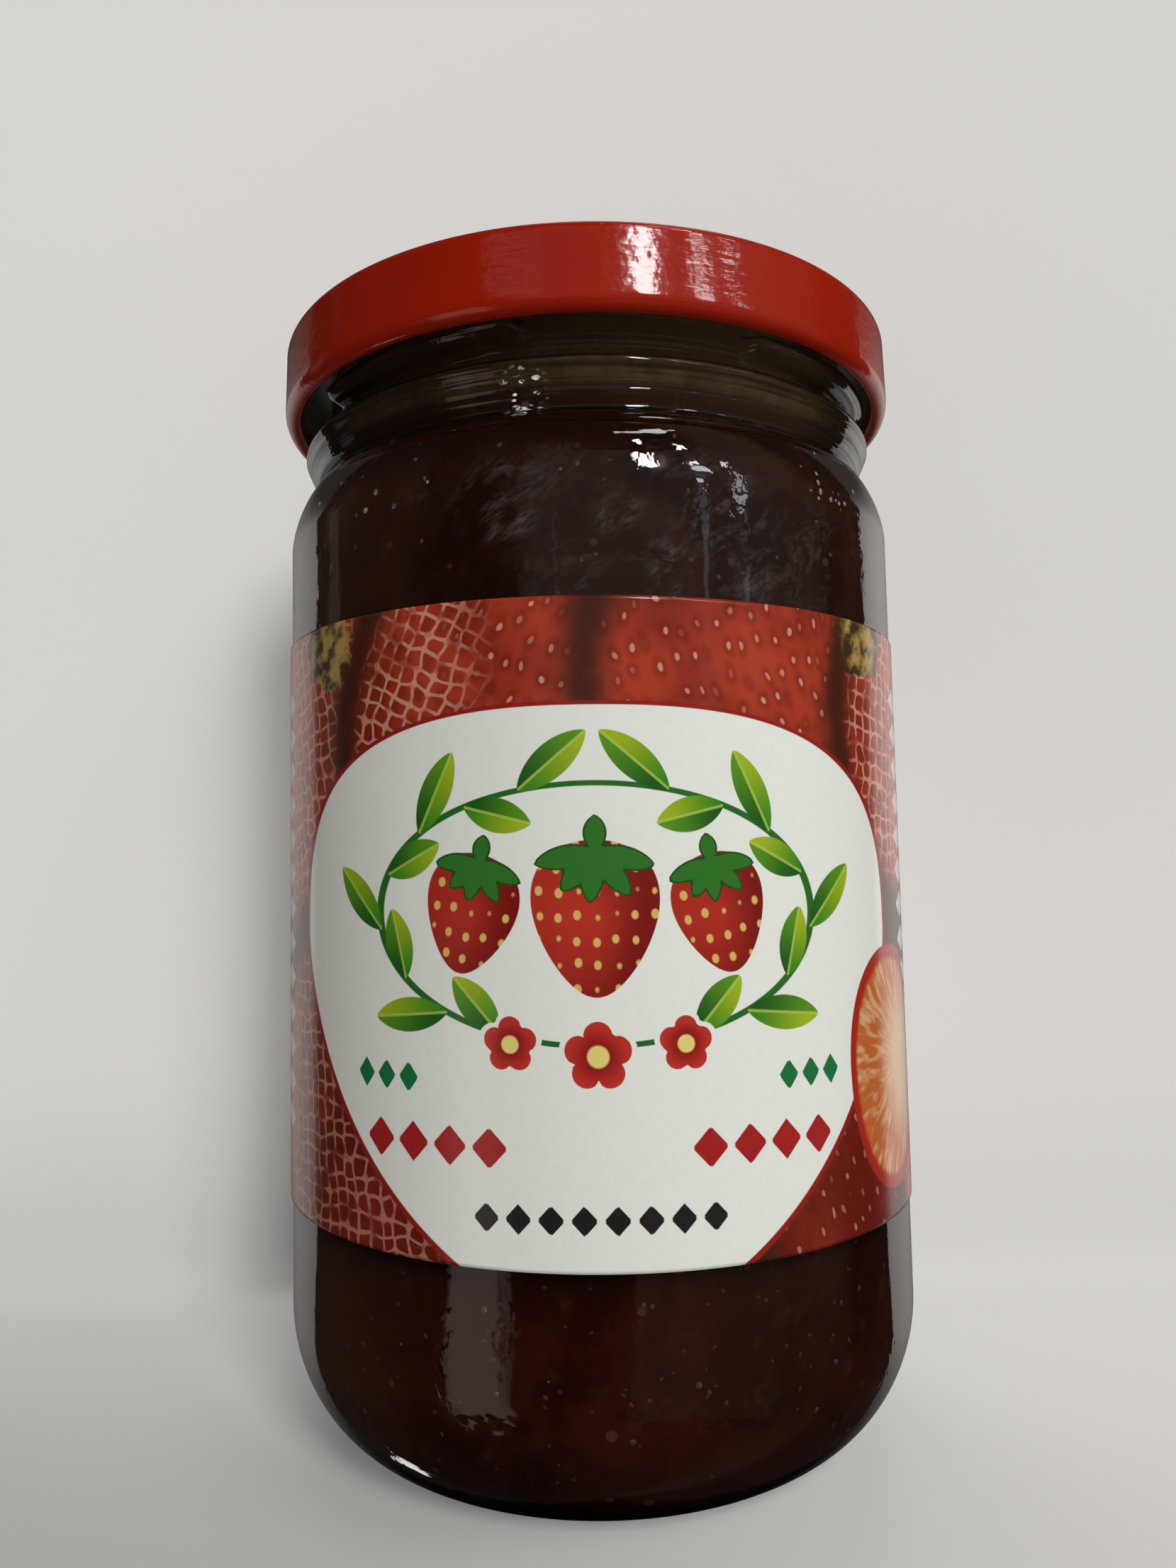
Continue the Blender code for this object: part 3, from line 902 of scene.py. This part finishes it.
def label_angles():
    """Azimuths of the label's columns, close in front, wide apart behind, a pair at the seam."""
    return np.concatenate([np.arange(-104.0, -60.0, 0.8), np.arange(-60.0, 60.0, 0.5),
                           np.arange(60.0, 104.0, 0.8), np.arange(104.0, 178.5, 1.8),
                           [179.95, 180.05], np.arange(181.5, 256.0, 1.8)])


def label_outline():
    """The label's closed section, down its outer face and up its inner one."""
    inner = LABEL_RADIUS - PAPER
    top = LABEL_FOOT + LABEL_HEIGHT
    outer_face = straight((LABEL_RADIUS, top), (LABEL_RADIUS, LABEL_FOOT), LABEL_ROWS)
    inner_face = straight((inner, LABEL_FOOT), (inner, top), 2)
    return np.concatenate([outer_face, inner_face])


def fruit_skin(tree, read):
    """The red ground's colour: a net or dashes on red, dark in the gaps, gold where leaves show."""
    skin = read("skin_place", "Vector")
    wander = node(tree, "TexNoise", {"Vector": skin, "Scale": 0.22, "Detail": 1.0}).outputs["Color"]
    wander = node(tree, "VectorMath", {0: wander, "Scale": 2.0}, operation="SCALE").outputs[0]
    bent = node(tree, "VectorMath", {0: skin, 1: wander}, operation="ADD").outputs[0]
    broken = noise(tree, skin, 0.5)
    cells = {"Vector": bent, "Scale": 0.50, "Randomness": 0.33}
    edge = node(tree, "TexVoronoi", cells, voronoi_dimensions="2D", feature="DISTANCE_TO_EDGE")
    middle = node(tree, "TexVoronoi", cells, voronoi_dimensions="2D")
    net = sums(tree, "MAXIMUM", ramp(tree, edge.outputs["Distance"], 0.13, 0.06),
               ramp(tree, middle.outputs["Distance"], 0.47, 0.57))
    net = times(tree, net, ramp(tree, broken, 0.36, 0.54, 0.2, 1.0))
    dashes = node(tree, "TexVoronoi", {"Vector": stretched(tree, bent, (1.0, 0.6, 1.0)),
                                       "Scale": 0.47, "Randomness": 0.55},
                  voronoi_dimensions="2D").outputs
    kept = node(tree, "SeparateColor", {"Color": dashes["Color"]}).outputs["Red"]
    dash = times(tree, ramp(tree, dashes["Distance"], 0.155, 0.085), ramp(tree, kept, 0.1, 0.75))
    pale = blended(tree, read("skin_netted"), dash, net)

    height = read("print_height")
    red = graded(tree, height, 8.0, 56.0, (0.130, 0.010, 0.005), (0.40, 0.044, 0.018))
    red = graded(tree, noise(tree, skin, 0.10, 4.0), 0.35, 0.7, red, (0.22, 0.020, 0.010))
    # Towards the sides the red is painted paler and pinker: a painted sheen, standing in for the
    # pale reflection the label shows seen edge on
    painted_side_sheen = ramp(tree, read("print_side"), 43.0, 50.0, 0.0, 0.85)
    red = blended(tree, painted_side_sheen, red, (0.62, 0.105, 0.070))
    pit = ramp(tree, dashes["Distance"], 0.5, 0.16, 0.0, 0.4)
    red = blended(tree, pit, red, (0.12, 0.008, 0.004))
    gap = sums(tree, "ADD", read("skin_gap"), times(tree, broken, 1.2))
    seam = ramp(tree, gap, 5.2, 0.9)
    red = blended(tree, times(tree, seam, 0.93), red, (0.045, 0.014, 0.008))
    shown = sums(tree, "MULTIPLY", pale, sums(tree, "SUBTRACT", 0.85, seam), clamp=True)
    shown = times(tree, shown, ramp(tree, height, 4.0, 50.0, 0.62, 1.0))
    red = blended(tree, shown, red, (0.66, 0.30, 0.21))
    red = graded(tree, read("skin_bare"), -0.4, 0.6, red, (0.050, 0.020, 0.009))

    leafy = noise(tree, skin, 0.45, 4.0)
    gold = graded(tree, leafy, 0.42, 0.62, (0.05, 0.028, 0.010), (0.42, 0.27, 0.07))
    ragged = sums(tree, "ADD", read("gold"), times(tree, leafy, 7.0))
    return graded(tree, ragged, 3.4, 2.4, red, gold)


def cut_flesh(tree, read):
    """The cut fruit: pale heart, orange flesh with rays, and a red rim."""
    place = read("cut_place", "Vector")
    flesh = graded(tree, parts_of(tree, place)["Y"], 0.4, 2.6, (0.72, 0.50, 0.30),
                   (0.52, 0.13, 0.025))
    rays = ramp(tree, noise(tree, place, 1.1, 4.0), 0.44, 0.66, 0.0, 0.75)
    flesh = blended(tree, rays, flesh, (0.74, 0.47, 0.25))
    return graded(tree, read("cut_fruit"), -1.5, -0.7, flesh, (0.40, 0.02, 0.01))


def paper_material():
    material, tree, shader = finish_material("printed paper", {
        "Specular IOR Level": 0.4, "Roughness": 0.17})

    def read(name, output="Fac"):
        return node(tree, "Attribute", attribute_name=name).outputs[output]

    def inked(distance, sheet, ink, grow=0.0):
        """The ink over the sheet where the distance is below grow."""
        return blended(tree, ramp(tree, distance, grow - 0.06, grow + 0.06, 1.0, 0.0), sheet, ink)

    def outlined(distance, sheet, line, grow, ink):
        """The ink with a line round it, as wide as grow."""
        return inked(distance, inked(distance, sheet, line, grow), ink)

    place = object_place(tree)
    white = blended(tree, noise(tree, place, 1100.0, 3.0), (0.77, 0.79, 0.735), (0.83, 0.85, 0.79))
    sheet = outlined(read("panel"), fruit_skin(tree, read), (0.28, 0.014, 0.010), 0.45, white)

    sheet = inked(sums(tree, "ABSOLUTE", read("stem")), sheet, (0.02, 0.14, 0.02), 0.34)
    along, across = read("leaf_along"), read("leaf_across")
    bright = graded(tree, along, 0.0, 1.0, (0.03, 0.24, 0.012), (0.36, 0.47, 0.015))
    dark = graded(tree, along, 0.1, 1.0, (0.012, 0.10, 0.012), (0.10, 0.30, 0.012))
    green = graded(tree, across, -0.05, 0.05, bright, dark)
    vein = ramp(tree, sums(tree, "ABSOLUTE", across), 0.10, 0.20, 0.7, 0.0)
    sheet = inked(read("leaf"), sheet, blended(tree, vein, green, (0.45, 0.58, 0.10)))

    edge, berry_x, berry_y = read("berry"), read("berry_x"), read("berry_y")
    berry_place = node(tree, "CombineXYZ", {"X": berry_x, "Y": times(tree, berry_y, 0.8)})
    seed = node(tree, "TexVoronoi", {"Vector": berry_place.outputs[0], "Scale": 0.48,
                                     "Randomness": 0.2})
    shade = sums(tree, "ADD", times(tree, berry_x, -0.07), times(tree, edge, -0.09))
    berry = graded(tree, shade, -0.3, 1.0, (0.20, 0.008, 0.006), (0.56, 0.040, 0.022))
    berry = graded(tree, seed.outputs["Distance"], 0.24, 0.17, berry, (0.70, 0.45, 0.12))
    sheet = inked(edge, sheet, berry)
    sheet = outlined(read("cap"), sheet, (0.015, 0.07, 0.01), 0.22, (0.03, 0.17, 0.02))

    away = read("blossom_away")
    petals = graded(tree, away, 0.2, 1.0, (0.26, 0.008, 0.008), (0.52, 0.035, 0.024))
    petals = graded(tree, away, 0.36, 0.28, petals, (0.78, 0.66, 0.20))
    sheet = outlined(read("blossom"), sheet, white, 0.6, petals)
    for name, ink in (("mark_green", (0.01, 0.17, 0.045)), ("mark_red", (0.36, 0.016, 0.016)),
                      ("mark_black", (0.018, 0.016, 0.016)), ("mark_pale", (0.74, 0.70, 0.66))):
        sheet = inked(read(name), sheet, ink)
    sheet = outlined(read("cut_fruit"), sheet, (0.30, 0.03, 0.015), 0.2, cut_flesh(tree, read))

    feed(tree, shader, {"Base Color": sheet,
                        "Normal": bumped(tree, noise(tree, place, 240.0), 0.10, 0.0001)})
    return material


def make_label():
    angles = label_angles()

    def wrapped(a, r, h):
        """h = height - r sin(a) tan(skew), and r is a little more along the free end."""
        free = np.clip((a - np.pi + LABEL_OVERLAP / LABEL_RADIUS) / 0.01, 0, 1)
        r = r + LABEL_END_PROUD * free * (a < np.pi)
        return r, h - r * np.sin(a) * np.tan(np.radians(LABEL_SKEW))

    outline = label_outline()
    label = turned("label_paper_print", outline, angles, closed=True, swell=wrapped)
    a, v = np.meshgrid(angles, outline[:, 1] - LABEL_FOOT)
    u = np.radians(np.where(a > 180, a - 360, a)) * LABEL_RADIUS
    for name, values in {**print_layers(u, v), **fruit_field(u, v)}.items():
        flat = values.ndim == 2
        made = label.data.attributes.new(name, "FLOAT" if flat else "FLOAT_VECTOR", "POINT")
        made.data.foreach_set("value" if flat else "vector", values.astype(np.float32).ravel())
    label.data.materials.append(paper_material())
    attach(label, "root")
    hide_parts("label")


# Stage

HAZE = (0.60, 0.588, 0.57)
SHEET_REACH, SHEET_HEIGHT, SHEET_SWEEP = 700.0, 620.0, 12.0
SHEET_BACK = BODY_RADIUS + 0.6


def sheet_glow(tree, side, up, along):
    """Part of the sheet's paleness is a soft glow, weaker towards the lower left."""
    glow = blended(tree, ramp(tree, along, -0.09, 0.05), ramp(tree, side, -0.095, 0.03, 0.0, 0.225),
                   ramp(tree, side, -0.12, 0.12, 0.345, 0.295))
    # Close beside the jar's left the shade is deepest
    beside = times(tree, ramp(tree, side, -0.069, -0.0535, 0.0, 0.47), ramp(tree, side, 0.0, -0.01),
                   ramp(tree, up, 0.135, 0.105), ramp(tree, up, 0.0, 0.003))
    return times(tree, glow, sums(tree, "SUBTRACT", 1.0, beside))


def sheet_material():
    """The camera and light that came through glass see the sheet's front. All else passes
    through its upright part, so that it shades nothing and hides nothing from behind."""
    material = bpy.data.materials.new("pale sheet")
    material.use_nodes = True
    material.cycles.emission_sampling = "NONE"
    tree = material.node_tree
    tree.nodes.remove(tree.nodes["Principled BSDF"])
    place = object_place(tree)
    side, back, up = parts_of(tree, place)
    from_bend = sums(tree, "ABSOLUTE", sums(tree, "SUBTRACT", back, SHEET_BACK * MM))
    along = sums(tree, "SUBTRACT", up, from_bend)
    # The light falls on it as on one slow bend, so that no line shows where it turns up
    lean = ramp(tree, along, -0.11, 0.13)
    facing = node(tree, "CombineXYZ", {"Y": times(tree, lean, -1.0),
                                       "Z": sums(tree, "SUBTRACT", 1.0, lean)}).outputs[0]
    facing = node(tree, "VectorMath", {0: facing}, operation="NORMALIZE").outputs[0]
    matt = node(tree, "BsdfDiffuse", {"Color": colour(0.42, 0.413, 0.402), "Normal": facing})
    ray = node(tree, "LightPath").outputs
    dimmed = sums(tree, "SUBTRACT", 1.0, times(tree, ray["Is Diffuse Ray"], 0.7))
    glow = times(tree, sheet_glow(tree, side, up, along), dimmed)
    shine = node(tree, "Emission", {"Color": colour(1.0, 0.983, 0.96), "Strength": glow})
    matt = node(tree, "AddShader", {0: matt.outputs[0], 1: shine.outputs[0]}).outputs[0]
    away = node(tree, "VectorMath", {0: place}, operation="LENGTH").outputs["Value"]
    haze = node(tree, "Emission", {"Color": colour(*HAZE)}).outputs[0]
    matt = node(tree, "MixShader", {0: ramp(tree, away, 0.25, 0.62), 1: matt, 2: haze}).outputs[0]

    seen = sums(tree, "ADD", ray["Is Camera Ray"], ray["Is Transmission Ray"], clamp=True)
    front = sums(tree, "SUBTRACT", 1.0, node(tree, "NewGeometry").outputs["Backfacing"])
    upright = ramp(tree, up, 0.0001, 0.0002)
    floor_share = times(tree, sums(tree, "SUBTRACT", 1.0, upright),
                        sums(tree, "SUBTRACT", 1.0, ray["Is Glossy Ray"]))
    share = sums(tree, "ADD", times(tree, seen, front, upright), floor_share, clamp=True)
    clear = node(tree, "BsdfTransparent").outputs[0]
    mixed = node(tree, "MixShader", {0: share, 1: clear, 2: matt}).outputs[0]
    tree.links.new(mixed, tree.nodes["Material Output"].inputs["Surface"])
    return material


def make_backdrop():
    """The pale sheet: floor forward of the jar, a small sweep, and an upright part close behind.

    Its section is a quarter circle, y = b - s + s sin(t), z = s - s cos(t), with straight runs.
    A second piece of floor starts under the upright part.
    """
    t = np.radians(np.linspace(0, 90, 16))
    bend = np.stack([SHEET_BACK - SHEET_SWEEP + SHEET_SWEEP * np.sin(t),
                     SHEET_SWEEP - SHEET_SWEEP * np.cos(t)], axis=1)
    section = np.concatenate([[(-SHEET_REACH, 0.0)], bend, [(SHEET_BACK, SHEET_HEIGHT)],
                              [(SHEET_BACK - SHEET_SWEEP, 0.0)], [(SHEET_REACH, 0.0)]])
    across = np.repeat(np.array([[-SHEET_REACH, SHEET_REACH]]), len(section), axis=0)
    grid = np.stack([across, np.repeat(section[:, :1], 2, 1), np.repeat(section[:, 1:], 2, 1)], -1)
    i = np.delete(np.arange(len(section) - 1), len(bend) + 1) * 2
    sheet = added("pale_sheet", grid, np.stack([i, i + 1, i + 3, i + 2], 1).tolist())
    sheet.data.materials.append(sheet_material())


def soft_lamp(name, azimuth, elevation, distance, wide, high, power, tint, mirrored):
    """A rectangle of light that looks at the jar; mirrored lamps show only in reflections."""
    data = bpy.data.lights.new(name, "AREA")
    data.shape = "RECTANGLE"
    data.size, data.size_y = wide, high
    data.energy = power
    data.color = tint
    lamp = bpy.data.objects.new(name, data)
    bpy.context.scene.collection.objects.link(lamp)
    a, e = np.radians(azimuth), np.radians(elevation)
    way = Vector((np.sin(a) * np.cos(e), -np.cos(a) * np.cos(e), np.sin(e)))
    lamp.location = Vector(LAMPS_LOOK_AT) * MM + way * distance
    lamp.rotation_mode = "QUATERNION"
    lamp.rotation_quaternion = way.to_track_quat("Z", "Y")
    lamp.visible_camera = False
    lamp.visible_glossy = mirrored
    lamp.visible_diffuse = lamp.visible_transmission = not mirrored


# Lamps: azimuth, elevation, distance, width and height in metres, power, colour, and whether
# it shows in what is polished or lights what is matt
LAMPS_LOOK_AT = (0.0, 0.0, 80.0)
LAMPS = {
    "soft key": (22, 32, 1.7, 0.5, 0.7, 19.0, (1.0, 0.99, 0.972), False),
    "soft side": (58, 42, 1.7, 0.8, 0.7, 5.0, (1.0, 0.99, 0.972), False),
    "soft back": (180, 40, 1.2, 1.4, 1.0, 8.0, (1.0, 0.99, 0.97), False),
    "first lamp": (21.3, 30.5, 1.0, 0.11, 0.17, 1.33, (1.0, 1.0, 1.0), True),
    "second lamp": (42, 27.5, 1.0, 0.08, 0.17, 0.44, (0.96, 0.98, 1.0), True),
    "third lamp": (55.5, 24, 1.0, 0.05, 0.18, 0.14, (0.92, 0.96, 1.0), True),
}


# What polished surfaces mirror besides the lamps: middle azimuth and elevation, half width
# and height, softness, strength, colour
MIRRORED = {
    "pale side of the room": (24, 22, 45, 24, 5, 0.20, (1.0, 0.95, 0.92)),
    "left strip": (-25, 30, 8, 4, 3, 0.35, (1.0, 0.98, 0.95)),
    "narrow strip": (-12.5, 8, 0.8, 4, 1.5, 0.45, (1.0, 0.98, 0.95)),
    "grey strip": (-44, -22, 8.5, 13, 4, 0.75, (1.0, 0.83, 0.74)),
    "brown shape": (37, -24, 27, 12, 2, 0.11, (1.0, 0.88, 0.62)),
    "left edge strip": (-108, 10, 2.5, 12, 3, 0.15, (1.0, 0.98, 0.95)),
    "glow of the first lamp": (21.5, 39.5, 3.2, 5.0, 1.2, 26, (1.0, 0.99, 0.98)),
    "glow of the second lamp": (42, 36, 1.8, 2.5, 1.0, 20, (1.0, 0.99, 0.98)),
    "glow of the third lamp": (55.5, 35, 1.2, 3.0, 1.0, 14, (0.95, 0.98, 1.0)),
    "first ceiling lamp": (23.5, 56, 2.0, 0.8, 0.8, 60, (1.0, 0.98, 0.95)),
    "second ceiling lamp": (44, 50, 2.0, 0.8, 0.8, 60, (1.0, 0.98, 0.95)),
    "line of light overhead": (36, 64, 20, 0.6, 1.2, 9, (1.0, 0.99, 0.97)),
    "first bluish strip": (41.5, 14, 0.9, 4.5, 1.4, 0.95, (0.78, 0.88, 1.0)),
    "second bluish strip": (58.5, 16, 1.0, 3.0, 1.4, 0.98, (0.78, 0.88, 1.0)),
    "overhead panel": (162, 66, 30, 4, 9, 0.9, (1.0, 0.99, 0.97)),
    "heel glint": (-129, -52, 4.0, 2.5, 2.0, 4, (1.0, 0.99, 0.97)),
}
# Azimuth from which they mirror the sheet behind the jar, on either side
SHEET_EDGE = 121.8


def make_surroundings():
    """The world: pale to the camera, dim soft light for matt surfaces, and for mirrored rays
    a dim room with bright patches, and the pale sheet behind the jar."""
    world = bpy.data.worlds.new("surroundings")
    bpy.context.scene.world = world
    world.use_nodes = True
    tree = world.node_tree
    way = node(tree, "TexCoord").outputs["Generated"]
    x, y, z = parts_of(tree, way)
    degrees = 180 / np.pi
    azimuth = times(tree, sums(tree, "ARCTAN2", x, times(tree, y, -1.0)), degrees)
    elevation = times(tree, sums(tree, "ARCSINE", z), degrees)
    sideways = sums(tree, "ABSOLUTE", azimuth)

    # The room is dark, and browner on its right
    right = times(tree, ramp(tree, azimuth, 40.0, 70.0), ramp(tree, azimuth, 100.0, 84.0),
                  ramp(tree, elevation, -28.0, -4.0, 0.25, 1.0))
    room = blended(tree, right, (0.022, 0.020, 0.018), (0.20, 0.145, 0.105))
    # The sheet is paler on the right, and darkens upwards, downwards and towards its middle
    shaded = times(tree, ramp(tree, sideways, SHEET_EDGE, 176.0, 0.66, 0.04),
                   ramp(tree, elevation, -50.0, 3.0, 0.08, 1.15),
                   ramp(tree, azimuth, -60.0, 60.0, 1.08, 1.55),
                   ramp(tree, elevation, 14.0, 28.0, 1.0, 0.10),
                   ramp(tree, elevation, -46.0, -22.0, 0.12, 1.0))
    sheet = node(tree, "CombineXYZ", {"X": shaded, "Y": times(tree, shaded, 0.97),
                                      "Z": times(tree, shaded, 0.94)}).outputs[0]
    past_edge = sums(tree, "SUBTRACT", sideways, ramp(tree, elevation, -12.0, -48.0, 0.0, 22.0))
    room = graded(tree, past_edge, SHEET_EDGE - 0.6, SHEET_EDGE + 0.6, room, sheet)
    # No edge in the room is quite straight, and those of the brightest patches wander least
    wander = node(tree, "TexNoise", {"Vector": way, "Scale": 12.0, "Detail": 3.0}).outputs["Color"]
    wander = node(tree, "SeparateColor", {"Color": wander}).outputs
    loose, firm = [(sums(tree, "ADD", azimuth, ramp(tree, wander["Red"], 0.2, 0.8, -a, a)),
                    sums(tree, "ADD", elevation, ramp(tree, wander["Green"], 0.2, 0.8, -e, e)))
                   for a, e in ((3.0, 10.0), (1.2, 2.5))]
    for *box, strength, tint in MIRRORED.values():
        moved = loose if strength < 1.0 else firm
        mask = placed(tree, SOFT_PATCH, dict(enumerate((*moved, *box))))["Mask"]
        room = blended(tree, mask, room, [strength * part for part in tint])

    ray = node(tree, "LightPath").outputs
    # Matt surfaces get more light from behind, where the sheet would throw it back
    dim = graded(tree, sideways, 95.0, 125.0, (0.085, 0.083, 0.08), (0.42, 0.41, 0.40))
    light = blended(tree, ray["Is Glossy Ray"], dim, room)
    light = blended(tree, ray["Is Camera Ray"], light, HAZE)
    feed(tree, tree.nodes["Background"], {"Color": light})


def make_camera():
    data = bpy.data.cameras.new("camera")
    data.sensor_width = 36.0
    data.lens = FOCAL_PIXELS * data.sensor_width / PHOTO_HEIGHT
    data.clip_start = 0.005
    camera = bpy.data.objects.new("camera", data)
    bpy.context.scene.collection.objects.link(camera)
    turn = (Matrix.Rotation(np.radians(CAMERA_YAW), 4, "Z")
            @ Matrix.Rotation(np.radians(CAMERA_PITCH), 4, "X")
            @ Matrix.Rotation(np.radians(CAMERA_ROLL), 4, "Y")
            @ Matrix.Rotation(np.radians(90), 4, "X"))
    camera.matrix_world = Matrix.Translation(Vector(CAMERA_PLACE) * MM) @ turn
    bpy.context.scene.camera = camera


make_camera()
make_glass()
make_jam()
make_seeds_and_bubbles()
make_lid()
make_label()
make_backdrop()
for name, values in LAMPS.items():
    soft_lamp(name, *values)
make_surroundings()
bpy.context.scene.view_settings.view_transform = "Standard"
